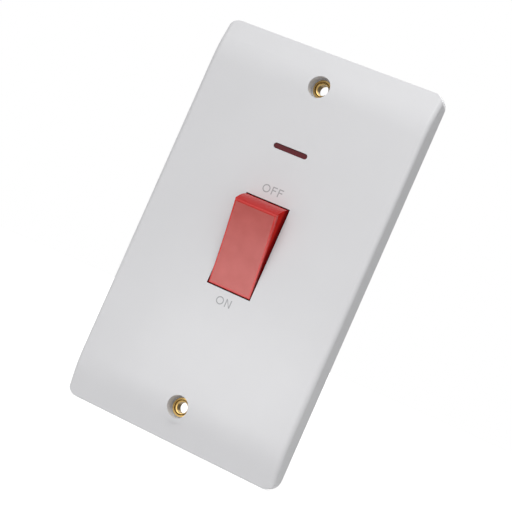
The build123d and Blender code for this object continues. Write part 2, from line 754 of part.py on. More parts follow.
lead_end_z = terminal_z + terminal_length / 4
lead_step = 1.5 * lead_radius
tail_x = (lamp_length / 2 + lead_x) / 2 + lead_radius
lead_routes = {
    "neon_lead_neutral": (
        (lamp_length / 2, lamp_y, neon_z + lead_step),
        (lead_x, lamp_y, neon_z + lead_step),
        (lead_x, lamp_y, lead_end_z),
        (lead_x, block_front_y, lead_end_z),
    ),
    "neon_tail": (
        (lamp_length / 2, lamp_y, neon_z - lead_step),
        (tail_x, lamp_y, neon_z - lead_step),
        (tail_x, resistor_y, resistor_z),
        (resistor_x + resistor_length / 2, resistor_y, resistor_z),
    ),
    "neon_lead_live": (
        (resistor_x - resistor_length / 2, resistor_y, resistor_z),
        (-lead_x, resistor_y, resistor_z),
        (-lead_x, lamp_y, resistor_z - 2 * resistor_radius),
        (-lead_x, lamp_y, lead_end_z),
        (-lead_x, block_front_y, lead_end_z),
    ),
}
for name, route in lead_routes.items():
    with BuildPart() as lead:
        with BuildLine() as line:
            FilletPolyline(*route, radius=lead_bend)
        with BuildSketch(Plane(origin=line.wire() @ 0, z_dir=line.wire() % 0)):
            Circle(lead_radius)
        sweep(path=line.wire())
    save(lead, name)

# Earth: a flat strap that links the eyelets round the mechanism, with a terminal block on it
with BuildPart() as earth_strap:
    with BuildSketch(Plane.XZ.offset(-strap_rear_y)):
        with Locations((strap_x, 0)):
            Rectangle(strap_width, 2 * cross_rib_z + strap_width)
        with GridLocations(1, 2 * cross_rib_z, 1, 2):
            with Locations((strap_x / 2, 0)):
                Rectangle(strap_x + strap_width, strap_width)
        with GridLocations(1, fixing_z + cross_rib_z, 1, 2):
            Rectangle(strap_width, fixing_z - cross_rib_z)
        with GridLocations(1, fixing_spacing, 1, 2):
            Circle(strap_pad_radius)
        with GridLocations(1, fixing_spacing, 1, 2):
            Circle(eyelet_barrel_radius + screw_gap, mode=Mode.SUBTRACT)
    extrude(amount=strap_thickness)
    outer_corners = earth_strap.edges().filter_by(Axis.Y).filter_by(
        lambda e: abs(e.center().X) > strap_x / 2
    )
    fillet(outer_corners, radius=strap_corner_radius)
save(earth_strap, "earth_strap")

earth_bore_y = strap_rear_y + earth_front_wall + earth_bore_radius
earth_rear_y = strap_rear_y + earth_block_depth
with BuildPart() as earth_terminal:
    with BuildSketch(Plane.XZ.offset(-earth_rear_y)):
        with Locations((strap_x, 0)):
            RectangleRounded(earth_block_width, earth_block_length, block_corner)
    extrude(amount=earth_block_depth)
    with BuildSketch(Plane.XY):
        with Locations((strap_x, earth_bore_y)):
            Circle(earth_bore_radius)
    extrude(amount=earth_block_length, both=True, mode=Mode.SUBTRACT)
    with BuildSketch(Plane.XZ.offset(-earth_rear_y)):
        with Locations((strap_x, 0)):
            Circle(earth_screw_radius + screw_gap)
    extrude(amount=earth_rear_y - earth_bore_y, mode=Mode.SUBTRACT)
save(earth_terminal, "earth_terminal")

with BuildPart() as earth_screw:
    tip_y = earth_bore_y + earth_bore_radius + 2 * fit_gap
    add(set_screw(on_back(strap_x, 0, tip_y + earth_screw_length), earth_screw_radius, earth_screw_length))
save(earth_screw, "earth_screw")

# Eyelets: turned brass, set from the front and rolled over the strap behind
eyelet_front_y = counterbore_floor_y - eyelet_flange_thickness
eyelet_rear_y = strap_rear_y + eyelet_rolled_thickness
for name, end in (("top_eyelet", 1), ("bottom_eyelet", -1)):
    with BuildPart() as eyelet:
        with BuildSketch(Plane.XY.offset(end * fixing_z)):
            with BuildLine():
                lead_in = RadiusArc(
                    (eyelet_bore_radius, eyelet_front_y + eyelet_lead_in),
                    (eyelet_bore_radius + eyelet_lead_in, eyelet_front_y),
                    eyelet_lead_in,
                )
                Polyline(
                    lead_in @ 1,
                    (eyelet_flange_radius, eyelet_front_y),
                    (eyelet_flange_radius, counterbore_floor_y),
                    (eyelet_barrel_radius, counterbore_floor_y),
                    (eyelet_barrel_radius, strap_rear_y),
                    (eyelet_rolled_radius, strap_rear_y),
                    (eyelet_rolled_radius, eyelet_rear_y),
                    (eyelet_bore_radius, eyelet_rear_y),
                    lead_in @ 0,
                )
            make_face()
        revolve(axis=Axis((0, 0, end * fixing_z), (0, 1, 0)))
    save(eyelet, name)
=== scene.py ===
"""Finishes, printed lettering and studio of a double pole wall switch on a double plate."""

import json
import math

import bmesh
import bpy
from mathutils import Matrix, Vector


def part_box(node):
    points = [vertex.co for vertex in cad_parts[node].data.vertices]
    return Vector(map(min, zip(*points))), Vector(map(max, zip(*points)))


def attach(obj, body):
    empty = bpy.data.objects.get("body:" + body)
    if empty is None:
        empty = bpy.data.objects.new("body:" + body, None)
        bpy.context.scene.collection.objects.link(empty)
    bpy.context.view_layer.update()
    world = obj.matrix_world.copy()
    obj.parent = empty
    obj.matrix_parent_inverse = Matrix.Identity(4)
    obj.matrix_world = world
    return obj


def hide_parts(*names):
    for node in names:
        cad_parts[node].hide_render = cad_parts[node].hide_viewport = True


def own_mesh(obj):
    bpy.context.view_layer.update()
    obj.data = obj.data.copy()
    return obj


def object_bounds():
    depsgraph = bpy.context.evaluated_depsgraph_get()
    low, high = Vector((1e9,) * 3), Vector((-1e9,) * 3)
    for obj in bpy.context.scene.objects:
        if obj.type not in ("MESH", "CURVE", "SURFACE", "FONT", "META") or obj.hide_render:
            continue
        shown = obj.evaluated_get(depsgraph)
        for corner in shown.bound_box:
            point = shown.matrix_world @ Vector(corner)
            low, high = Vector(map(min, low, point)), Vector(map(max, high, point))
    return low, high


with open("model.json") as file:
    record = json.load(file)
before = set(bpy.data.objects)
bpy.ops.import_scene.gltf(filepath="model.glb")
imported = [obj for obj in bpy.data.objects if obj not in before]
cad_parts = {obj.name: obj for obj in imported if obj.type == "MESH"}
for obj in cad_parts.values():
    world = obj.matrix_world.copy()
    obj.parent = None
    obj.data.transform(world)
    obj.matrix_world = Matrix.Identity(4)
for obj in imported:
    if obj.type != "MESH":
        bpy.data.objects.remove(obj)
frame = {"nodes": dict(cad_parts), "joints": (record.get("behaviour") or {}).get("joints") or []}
cad_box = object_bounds()

bl_info = {
    "name": "Double pole switch",
    "version": (1, 0, 0),
    "blender": (4, 5, 0),
    "location": "3D View > Sidebar > Switch",
    "description": "Finishes a wall switch with a red rocker, letters its plate and lights it",
    "category": "Object",
}

MM = 0.001
POLES = ("live", "neutral")
ROCKER_SWING = math.radians(15)


def linear(code):
    """Linear colour of an sRGB hex value such as "C8A050"."""
    shares = [int(code[place:place + 2], 16) / 255 for place in (0, 2, 4)]
    return [s / 12.92 if s <= 0.04045 else ((s + 0.055) / 1.055) ** 2.4 for s in shares] + [1.0]


def colour_property(name, description, code):
    """A colour that a user may change, with its default as an sRGB hex value."""
    return bpy.props.FloatVectorProperty(
        name=name, description=description, subtype="COLOR", size=4, min=0, max=1, default=linear(code)
    )


def length_property(name, description, millimetres):
    """A length that a user may change, with its default in millimetres."""
    return bpy.props.FloatProperty(
        name=name, description=description, subtype="DISTANCE", unit="LENGTH", default=millimetres * MM
    )


def level_property(name, description, level):
    """A level of light that a user may change, with its default."""
    return bpy.props.FloatProperty(name=name, description=description, min=0, default=level)


class PlateSettings(bpy.types.PropertyGroup):
    """Colours of the plate, its printing and the eyelets."""

    plate: colour_property("Plate", "Moulded plate", "E2E2E4")
    # Painted shade with a painted red reflection of the rocker, for the walls of the rocker's opening.
    opening: colour_property("Opening", "Walls of the opening, reddened by the rocker", "7A1018")
    ink: colour_property("Lettering", "Printed OFF and ON", "ABABAE")
    brass: colour_property("Eyelets", "Turned brass eyelets", "AC8F58")


class RockerSettings(bpy.types.PropertyGroup):
    """Colours of the rocker and the neon window."""

    smooth: colour_property("Rocker ends", "Smooth ends of the rocker", "BA2422")
    # Painted highlight: the border is painted a lighter red than the smooth ends of the same moulding; its
    # higher gloss is real.
    lit_rim: colour_property("Rocker border", "Polished border round the sparked panel", "D22C26")
    # Painted shade: the sides' colour close to the plate, painted darker where little light comes.
    flank_shade: colour_property("Rocker sides", "Sides of the rocker, close to the plate", "7A1010")
    panel: colour_property("Rocker panel", "Sparked panel on the face of the rocker", "BE423A")
    border: length_property("Panel border", "Smooth border round the sparked panel", 0.8)
    lens: colour_property("Neon window", "Tinted lens in the slit", "641A22")


class LetteringSettings(bpy.types.PropertyGroup):
    """Sizes of the printed words."""

    cap_height: length_property("Letter height", "Height of a capital letter", 2.9)
    stroke: length_property("Stroke", "Width of a letter's lines", 0.38)
    spacing: length_property("Spacing", "Space between two letters", 0.7)
    clearance: length_property("Clearance", "From the rocker's opening to the nearer side of a word", 2.4)
    ink_depth: length_property("Ink", "Thickness of the printed film", 0.02)


class SpringSettings(bpy.types.PropertyGroup):
    """Wire of the plunger springs."""

    wire_radius: length_property("Wire radius", "Half the thickness of the spring wire", 0.2)
    turns: bpy.props.IntProperty(
        name="Turns", description="Turns of wire, with the closed one at each end", min=3, default=8
    )


class StudioSettings(bpy.types.PropertyGroup):
    """Lamps, floor and surroundings."""

    surround: level_property("Surround", "Even light from all sides, where 1 is white", 0.50)
    key_level: level_property("Key lamp", "Light that it adds on a surface that faces it", 0.57)
    back_level: level_property("Back lamp", "Light that it adds on a surface that faces it", 0.35)
    lamp_distance: length_property("Lamp distance", "From the object to each lamp", 2600)
    lamp_size: length_property("Lamp size", "Side of each square lamp", 1800)
    floor_radius: length_property("Floor radius", "Radius of the round floor", 1500)
    floor: colour_property("Floor", "Matt studio paper", "D8D8D8")
    floor_lift: level_property("Floor lift", "Light added to the floor as the camera sees it", 0.70)


# Tools that the pieces share


def joint_row(name):
    """A joint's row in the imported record."""
    return next(joint for joint in frame["joints"] if joint["name"] == name)


def plate_opening():
    """Half the width and half the height of the rocker's opening in the plate, in metres."""
    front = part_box("front_plate")[0].y
    # The opening's corners are the only ones of the front face so close to its middle.
    reach_x, reach_z, flat = 12 * MM, 22 * MM, 0.05 * MM
    corners = [
        vertex.co
        for vertex in frame["nodes"]["front_plate"].data.vertices
        if abs(vertex.co.y - front) < flat and abs(vertex.co.x) < reach_x and abs(vertex.co.z) < reach_z
    ]
    return max(abs(corner.x) for corner in corners), max(abs(corner.z) for corner in corners)


def add_piece(name, mesh, material):
    """A new piece from a finished bmesh, which is used up."""
    data = bpy.data.meshes.new(name)
    mesh.to_mesh(data)
    mesh.free()
    data.materials.append(material)
    piece = bpy.data.objects.new(name, data)
    bpy.context.scene.collection.objects.link(piece)
    return piece


def dress(material, *names):
    """Gives CAD nodes their material."""
    for name in names:
        piece = frame["nodes"][name]
        piece.data.materials.clear()
        piece.data.materials.append(material)


# Tools that the materials share


def node(tree, kind, inputs=None, **settings):
    """Adds a node with its settings; an input takes a value or another node's output."""
    made = tree.nodes.new(kind)
    for name, value in settings.items():
        setattr(made, name, value)
    for name, value in (inputs or {}).items():
        if isinstance(value, bpy.types.NodeSocket):
            tree.links.new(value, made.inputs[name])
        else:
            made.inputs[name].default_value = value
    return made


def maths(tree, operation, *values):
    """The result of one sum on numbers or other nodes' outputs."""
    return node(tree, "ShaderNodeMath", dict(enumerate(values)), operation=operation).outputs[0]


def parts_of(tree, vector):
    """The X, Y and Z of a vector."""
    return node(tree, "ShaderNodeSeparateXYZ", {"Vector": vector}).outputs


def length_across(tree, along_x, along_z):
    """The distance that two steps at right angles make together."""
    flat = node(tree, "ShaderNodeCombineXYZ", {"X": along_x, "Y": 0.0, "Z": along_z}).outputs[0]
    return node(tree, "ShaderNodeVectorMath", {0: flat}, operation="LENGTH").outputs["Value"]


def seen_white(tree):
    """1 for what the camera sees straight, in a shine or through glass, and 0 for the light itself."""
    path = node(tree, "ShaderNodeLightPath").outputs
    seen = maths(tree, "MAXIMUM", path["Is Camera Ray"], path["Is Glossy Ray"])
    return maths(tree, "MAXIMUM", seen, path["Is Transmission Ray"])


# The shader's inputs by a shorter name
SOCKETS = {
    "roughness": "Roughness",
    "metallic": "Metallic",
    "specular": "Specular IOR Level",
    "transmission": "Transmission Weight",
}


def empty_material(name):
    """A new material and its node tree, with no node yet."""
    made = bpy.data.materials.new(name)
    made.use_nodes = True
    made.node_tree.nodes.clear()
    return made, made.node_tree


def start_material(name, **surface):
    """A new material with its node tree and its main shader."""
    made, tree = empty_material(name)
    inputs = {SOCKETS.get(key, key): value for key, value in surface.items()}
    shader = node(tree, "ShaderNodeBsdfPrincipled", inputs)
    node(tree, "ShaderNodeOutputMaterial", {"Surface": shader.outputs["BSDF"]})
    return made, tree, shader


def places(tree, origin=(0, 0, 0), turn=(0, 0, 0), stretch=(1, 1, 1)):
    """Coordinates in millimetres, from an origin in metres and in axes turned by radians."""
    source = node(tree, "ShaderNodeTexCoord")
    return node(
        tree,
        "ShaderNodeMapping",
        {
            "Vector": source.outputs["Object"],
            "Location": origin,
            "Rotation": turn,
            "Scale": [MM * share for share in stretch],
        },
        vector_type="TEXTURE",
    ).outputs["Vector"]


def grain(tree, where, size, detail=2.0, roughness=0.5):
    """A noise whose lumps are about size millimetres across."""
    return node(
        tree,
        "ShaderNodeTexNoise",
        {"Vector": where, "Scale": 1 / size, "Detail": detail, "Roughness": roughness},
    ).outputs["Fac"]


def spread(tree, share, low, high):
    """A share from 0 to 1, spread over low to high."""
    inputs = {"Value": share, "To Min": low, "To Max": high}
    return node(tree, "ShaderNodeMapRange", inputs).outputs["Result"]


def shade(tree, share, dark, light):
    """A colour between two, by a share from 0 to 1."""
    return node(
        tree, "ShaderNodeMix", {"Factor": share, "A": dark, "B": light}, data_type="RGBA"
    ).outputs["Result"]


def tinted(colour, share):
    """A colour made lighter or darker by a share."""
    return [min(1.0, part * share) for part in colour[:3]] + [1.0]


def relief(tree, shader, height, depth, normal=None):
    """Raises the surface by a height from 0 to 1, over depth millimetres."""
    bump = node(tree, "ShaderNodeBump", {"Height": height, "Distance": depth * MM})
    if normal:
        tree.links.new(normal, bump.inputs["Normal"])
    tree.links.new(bump.outputs["Normal"], shader.inputs["Normal"])


def wire(tree, output, shader, name):
    """Feeds one of the shader's inputs."""
    tree.links.new(output, shader.inputs[name])


# Materials, each named for what it is made of and how its surface was made


def shade_beside_rocker(tree, where, front, rear):
    """1 on the walls round the rocker, between two depths in millimetres, where painted shade with a
    painted red reflection of the rocker goes.
    """
    parts = parts_of(tree, where)
    ahead = maths(tree, "GREATER_THAN", parts["Y"], front)
    walls = maths(tree, "MULTIPLY", ahead, maths(tree, "LESS_THAN", parts["Y"], rear))
    margin = 1
    for axis, half in zip("XZ", plate_opening()):
        size = maths(tree, "ABSOLUTE", parts[axis])
        walls = maths(tree, "MULTIPLY", walls, maths(tree, "LESS_THAN", size, half / MM + margin))
    return walls


def end_normal(tree, where):
    """The plate's normal, with the bent ends' own slope over the tops of the fixing bosses."""
    # The bosses come up through the ends by a hair, and are shaded as part of them. Millimetres.
    bend_start, bend_end, bend_slope = 56.25, 65.7, math.tan(math.radians(15))
    hole_height, boss_radius = 60.3, 5.85
    tops_start, tops_depth = 64.65, -5.9
    parts = parts_of(tree, where)
    up = maths(tree, "ABSOLUTE", parts["Z"])
    lean = node(
        tree,
        "ShaderNodeMapRange",
        {"Value": up, "From Min": bend_start, "From Max": bend_end, "To Max": bend_slope},
    ).outputs["Result"]
    lean = maths(tree, "MULTIPLY", lean, maths(tree, "SIGN", parts["Z"]))
    sloped = node(tree, "ShaderNodeCombineXYZ", {"X": 0.0, "Y": -1.0, "Z": lean}).outputs[0]
    sloped = node(tree, "ShaderNodeVectorMath", {0: sloped}, operation="NORMALIZE").outputs[0]
    radius = length_across(tree, parts["X"], maths(tree, "SUBTRACT", up, hole_height))
    tops = maths(tree, "LESS_THAN", radius, boss_radius)
    tops = maths(tree, "MULTIPLY", tops, maths(tree, "GREATER_THAN", up, tops_start))
    tops = maths(tree, "MULTIPLY", tops, maths(tree, "LESS_THAN", parts["Y"], tops_depth))
    own = node(tree, "ShaderNodeNewGeometry").outputs["Normal"]
    return node(
        tree, "ShaderNodeMix", {"Factor": tops, "A": own, "B": sloped}, data_type="VECTOR"
    ).outputs["Result"]


def moulded_urea(colour, opening_shade_colour):
    """White urea moulding powder, pressed in a satin-polished tool."""
    # Soft broad highlights, with the faint cloudiness of the pressed powder.
    made, tree, shader = start_material("moulded_urea", specular=0.36, IOR=1.55)
    where = places(tree)
    clouds = grain(tree, where, 22)
    body = shade(tree, clouds, tinted(colour, 0.975), tinted(colour, 1.02))
    # Painted shade with a painted red reflection of the rocker on the walls round it. The walls start just
    # behind the front face and end at the wall's surface.
    walls = shade_beside_rocker(tree, where, front=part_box("front_plate")[0].y / MM + 0.05, rear=0)
    wire(tree, shade(tree, walls, body, opening_shade_colour), shader, "Base Color")
    wire(tree, spread(tree, grain(tree, where, 9), 0.41, 0.49), shader, "Roughness")
    # The tool's polish is finer than 0.1 mm; it is drawn at 0.6 mm so that it shows.
    relief(tree, shader, grain(tree, where, 0.6, detail=1), 0.003, normal=end_normal(tree, where))
    return made


def printed_ink(colour):
    """Grey pad-printed ink."""
    # A thin matt film, slightly uneven where the pad lifted.
    made, tree, shader = start_material("printed_ink", roughness=0.6, IOR=1.5)
    patches = grain(tree, places(tree), 0.5)
    wire(tree, shade(tree, patches, tinted(colour, 0.93), tinted(colour, 1.05)), shader, "Base Color")
    return made


def sparked_polycarbonate(settings):
    """Red polycarbonate, moulded in a tool with a spark-eroded panel and polished borders."""
    # The panel scatters light and looks paler; the border and the ends stay deep red and glossy.
    made, tree, shader = start_material("sparked_polycarbonate", IOR=1.58)
    where = places(tree, origin=joint_row("rocker_pivot")["pos_m"], turn=(ROCKER_SWING, 0, 0))
    parts = parts_of(tree, where)
    # Millimetres from the pivot, with the rocker's face square to Y.
    half_width, half_face, face_depth = 8.45, 15.5, -5.7
    border, soft, edge = settings.border / MM, 0.12, 0.1

    def inside(value, half):
        """1 where a distance from the middle is less than half, with a soft edge."""
        size = maths(tree, "ABSOLUTE", value)
        return node(
            tree,
            "ShaderNodeMapRange",
            {"Value": size, "From Min": half + soft, "From Max": half - soft, "To Min": 0, "To Max": 1},
            interpolation_type="SMOOTHSTEP",
        ).outputs["Result"]

    across = inside(parts["X"], half_width - border)
    along = inside(parts["Z"], half_face - border)
    deep = maths(tree, "LESS_THAN", parts["Y"], face_depth)
    front = maths(tree, "MULTIPLY", deep, inside(parts["Z"], half_face))
    panel = maths(tree, "MULTIPLY", maths(tree, "MULTIPLY", across, along), front)
    flanks = maths(tree, "GREATER_THAN", maths(tree, "ABSOLUTE", parts["X"]), half_width - edge)

    blotches = grain(tree, where, 5)
    smooth = shade(tree, blotches, tinted(settings.smooth, 0.95), tinted(settings.smooth, 1.05))
    rough = shade(tree, blotches, tinted(settings.panel, 0.90), tinted(settings.panel, 1.10))
    # Painted highlight: the face's border takes a lighter red than the ends.
    smooth = shade(tree, front, smooth, settings.lit_rim)
    # Painted shade: each side is painted dark red close to the plate, where little light comes, and painted
    # lighter above it.
    level = parts_of(tree, node(tree, "ShaderNodeNewGeometry").outputs["Position"])["Y"]
    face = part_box("front_plate")[0].y
    shaded, clear = face - 1.4 * MM, face - 4.0 * MM
    lift = node(
        tree,
        "ShaderNodeMapRange",
        {"Value": level, "From Min": shaded, "From Max": clear},
        interpolation_type="SMOOTHSTEP",
    ).outputs["Result"]
    smooth = shade(tree, flanks, smooth, shade(tree, lift, settings.flank_shade, tinted(settings.lit_rim, 0.86)))
    wire(tree, shade(tree, panel, smooth, rough), shader, "Base Color")
    wire(tree, spread(tree, panel, 0.24, 0.34), shader, "Roughness")
    # The face shines most; the ends a little, and the sides hardly at all.
    gloss = spread(tree, flanks, 0.12, 0.0)
    sheen = node(
        tree,
        "ShaderNodeMapRange",
        {"Value": maths(tree, "MULTIPLY", panel, blotches), "From Max": 0.7, "To Min": 0.5, "To Max": 0.66},
    ).outputs["Result"]
    gloss = node(tree, "ShaderNodeMix", {"Factor": front, "A": gloss, "B": sheen}).outputs["Result"]
    wire(tree, gloss, shader, "Specular IOR Level")
    # Spark erosion leaves pits of about 0.1 mm, drawn at 0.3 mm so that they show.
    pits = grain(tree, where, 0.3, detail=1)
    relief(tree, shader, maths(tree, "MULTIPLY", pits, panel), 0.02)
    return made


def tinted_lens(colour):
    """Deep red polycarbonate, moulded against a polished tool."""
    # Dark until the neon lights behind it, with a sharp gloss.
    made, tree, shader = start_material(
        "tinted_lens", roughness=0.12, IOR=1.58, specular=0.2, transmission=0.15
    )
    streaks = grain(tree, places(tree, stretch=(6, 1, 1)), 1.2)
    wire(tree, shade(tree, streaks, tinted(colour, 0.8), tinted(colour, 1.25)), shader, "Base Color")
    return made


def turned_brass(colour, centre_height):
    """Free-cutting brass, turned on an automatic lathe."""
    # Fine rings from the tool round each eyelet's axis stretch the highlights across them.
    made, tree, shader = start_material("turned_brass", metallic=1.0)
    where = places(tree)
    parts = parts_of(tree, where)
    offset = maths(tree, "SUBTRACT", maths(tree, "ABSOLUTE", parts["Z"]), centre_height / MM)
    radius = length_across(tree, parts["X"], offset)
    # The tool's feed is about 0.08 mm a turn, drawn at 0.3 mm.
    feed = 0.3
    turns = maths(tree, "MULTIPLY", maths(tree, "ADD", radius, parts["Y"]), 2 * math.pi / feed)
    wave = maths(tree, "SINE", turns)
    rings = node(tree, "ShaderNodeMapRange", {"Value": wave, "From Min": -1}).outputs["Result"]
    tarnish = grain(tree, where, 1.5)
    wire(tree, shade(tree, tarnish, tinted(colour, 0.85), tinted(colour, 1.1)), shader, "Base Color")
    wire(tree, spread(tree, rings, 0.14, 0.24), shader, "Roughness")
    relief(tree, shader, rings, 0.01)
    return made


def rolled_metal(name, colour, roughness, along=(1, 1, 12), lines=0.25):
    """Metal strip rolled and then pressed or sawn, with fine lines along its length."""
    # Lines from the rolls draw each highlight out across them; real ones are about 0.05 mm apart.
    made, tree, shader = start_material(name, metallic=1.0)
    where = places(tree, stretch=along)
    streaks = grain(tree, where, lines, detail=3)
    wire(tree, shade(tree, streaks, tinted(colour, 0.88), tinted(colour, 1.08)), shader, "Base Color")
    wire(tree, spread(tree, streaks, roughness - 0.06, roughness + 0.08), shader, "Roughness")
    relief(tree, shader, streaks, 0.006)
    return made


def moulded_nylon(name, colour, speck=0.5, cavity_shade=None):
    """Glass-filled or natural nylon, moulded in an unpolished tool."""
    # Matt and slightly waxy, with specks where fibres lie at the surface.
    made, tree, shader = start_material(name, IOR=1.53)
    where = places(tree)
    specks = grain(tree, where, speck, detail=4, roughness=0.7)
    body = shade(tree, specks, tinted(colour, 0.90), tinted(colour, 1.06))
    # Painted shade with a painted red reflection of the rocker, on the base round the rocker's opening.
    if cavity_shade:
        body = shade(tree, shade_beside_rocker(tree, where, front=-10, rear=2), body, cavity_shade)
    wire(tree, body, shader, "Base Color")
    wire(tree, spread(tree, grain(tree, where, 4), 0.48, 0.62), shader, "Roughness")
    relief(tree, shader, specks, 0.012)
    return made


def plated_steel(colour):
    """Steel wire, cold headed and zinc plated."""
    # A bluish bright coat, a little mottled.
    made, tree, shader = start_material("plated_steel", metallic=1.0)
    where = places(tree)
    mottle = grain(tree, where, 0.8, detail=3)
    wire(tree, shade(tree, mottle, tinted(colour, 0.86), tinted(colour, 1.08)), shader, "Base Color")
    wire(tree, spread(tree, mottle, 0.24, 0.38), shader, "Roughness")
    relief(tree, shader, mottle, 0.006)
    return made


def lamp_glass():
    """Lead glass tube, drawn and sealed by flame."""
    # Clear, with slow ripples along the tube from drawing.
    made, tree, shader = start_material("lamp_glass", roughness=0.03, IOR=1.52, transmission=0.9)
    ripples = grain(tree, places(tree, stretch=(8, 1, 1)), 0.8)
    wire(tree, shade(tree, ripples, linear("E8D3C0"), linear("F6E6D6")), shader, "Base Color")
    relief(tree, shader, ripples, 0.01)
    return made


def lacquered_ceramic():
    """Ceramic resistor body, dipped in tan lacquer, with painted value bands."""
    # Four bands across the body; the lacquer pools softly at its ends.
    made, tree, shader = start_material("lacquered_ceramic", roughness=0.35, IOR=1.5)
    where = places(tree, origin=(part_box("neon_resistor")[0].x, 0, 0))
    along = parts_of(tree, where)["X"]
    body = shade(tree, grain(tree, where, 0.6), linear("B48E5E"), linear("C9A574"))
    # Each band's middle, in millimetres from the end, and its colour.
    bands = ((1.0, "4A3426"), (1.9, "2E2B2A"), (2.8, "C9B22E"), (3.9, "B08D57"))
    half_band = 0.25
    for middle, code in bands:
        body = shade(tree, maths(tree, "COMPARE", along, middle, half_band), body, linear(code))
    wire(tree, body, shader, "Base Color")
    return made


def extruded_sleeve(colour):
    """Soft PVC sleeve, extruded."""
    # Smooth along its length, slightly uneven round it.
    made, tree, shader = start_material("extruded_sleeve", roughness=0.42, IOR=1.53)
    where = places(tree)
    marks = grain(tree, where, 1.5)
    wire(tree, shade(tree, marks, tinted(colour, 0.94), tinted(colour, 1.04)), shader, "Base Color")
    relief(tree, shader, marks, 0.01)
    return made


def studio_paper(colour, lift):
    """Matt studio paper that looks white to the camera and still takes a shadow."""
    made, tree = empty_material("studio_paper")
    matt = node(tree, "ShaderNodeBsdfDiffuse", {"Color": colour}).outputs[0]
    level = spread(tree, seen_white(tree), 0, lift)
    glow = node(tree, "ShaderNodeEmission", {"Strength": level}).outputs[0]
    both = node(tree, "ShaderNodeAddShader", {0: matt, 1: glow}).outputs[0]
    node(tree, "ShaderNodeOutputMaterial", {"Surface": both})
    return made


# Printed letters, drawn from straight strokes and round bowls


def add_slab(mesh, outline, y, depth):
    """A thin slab with the given outline in X and Z, with its back at y."""
    back = [mesh.verts.new((x, y, z)) for x, z in outline]
    front = [mesh.verts.new((x, y - depth, z)) for x, z in outline]
    mesh.faces.new(back)
    mesh.faces.new(list(reversed(front)))
    for place in range(len(outline)):
        after = (place + 1) % len(outline)
        mesh.faces.new((back[after], back[place], front[place], front[after]))


def add_bowl(mesh, centre, half_width, half_height, stroke, y, depth, steps=48):
    """A round letter's ring."""
    loops = []
    for inset, level in ((0, 0), (0, depth), (stroke, depth), (stroke, 0)):
        loops.append([
            mesh.verts.new((
                centre[0] + (half_width - inset) * math.cos(2 * math.pi * step / steps),
                y - level,
                centre[1] + (half_height - inset) * math.sin(2 * math.pi * step / steps),
            ))
            for step in range(steps)
        ])
    for ring in range(len(loops)):
        inner, outer = loops[ring], loops[(ring + 1) % len(loops)]
        for step in range(steps):
            after = (step + 1) % steps
            mesh.faces.new((inner[step], inner[after], outer[after], outer[step]))


# Each letter's width as a share of its height
LETTER_WIDTHS = {"O": 1.02, "F": 0.62, "N": 0.74}


def add_letter(mesh, letter, left, foot, height, stroke, y, depth):
    """One capital letter, from its lower left corner."""
    width = LETTER_WIDTHS[letter] * height
    head = foot + height
    if letter == "O":
        centre = (left + width / 2, foot + height / 2)
        add_bowl(mesh, centre, width / 2, height / 2, stroke, y, depth)
    elif letter == "F":
        arm = foot + 0.48 * height
        arm_end = left + 0.9 * width
        add_slab(mesh, (
            (left, foot), (left + stroke, foot), (left + stroke, arm), (arm_end, arm),
            (arm_end, arm + stroke), (left + stroke, arm + stroke), (left + stroke, head - stroke),
            (left + width, head - stroke), (left + width, head), (left, head),
        ), y, depth)
    else:
        right = left + width
        slope = 1.35 * stroke
        add_slab(mesh, (
            (left, foot), (left + stroke, foot), (left + stroke, head - slope),
            (right - stroke, foot), (right, foot), (right, head), (right - stroke, head),
            (right - stroke, foot + slope), (left + stroke, head), (left, head),
        ), y, depth)
    return width


def print_word(word, piece_name, middle_height, settings, material):
    """One printed word, centred across the plate, on its front face."""
    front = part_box("front_plate")[0].y
    height = settings.cap_height
    foot = middle_height - height / 2
    widths = [LETTER_WIDTHS[letter] * height for letter in word]
    left = -(sum(widths) + settings.spacing * (len(word) - 1)) / 2
    mesh = bmesh.new()
    for letter in word:
        width = add_letter(mesh, letter, left, foot, height, settings.stroke, front, settings.ink_depth)
        left += width + settings.spacing
    bmesh.ops.recalc_face_normals(mesh, faces=mesh.faces)
    piece = add_piece(piece_name, mesh, material)
    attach(piece, "plate_and_base")


# Plunger springs, wound from round wire


def coil(origin, axis, radius, wire_radius, length, turns, turn_steps=24, wire_steps=8):
    """A tube along a helix from origin, with its first and last turns closed up."""
    closed = 2 * wire_radius
    side = Vector((1, 0, 0))
    across = axis.cross(side)
    mesh = bmesh.new()
    rings = []
    for step in range(turns * turn_steps + 1):
        turn = step / turn_steps
        if turn < 1:
            height = turn * closed
        elif turn > turns - 1:
            height = length - (turns - turn) * closed
        else:
            height = closed + (turn - 1) * (length - 2 * closed) / (turns - 2)
        angle = 2 * math.pi * turn
        outward = side * math.cos(angle) + across * math.sin(angle)
        centre = origin + axis * height + outward * radius
        ring = []
        for place in range(wire_steps):
            angle = 2 * math.pi * place / wire_steps
            offset = outward * math.cos(angle) + axis * math.sin(angle)
            ring.append(mesh.verts.new(centre + offset * wire_radius))
        rings.append(ring)
    for first, second in zip(rings, rings[1:]):
        for place in range(wire_steps):
            after = (place + 1) % wire_steps
            face = mesh.faces.new((first[place], first[after], second[after], second[place]))
            face.smooth = True
    mesh.faces.new(rings[0])
    mesh.faces.new(rings[-1])
    bmesh.ops.recalc_face_normals(mesh, faces=mesh.faces)
    return mesh


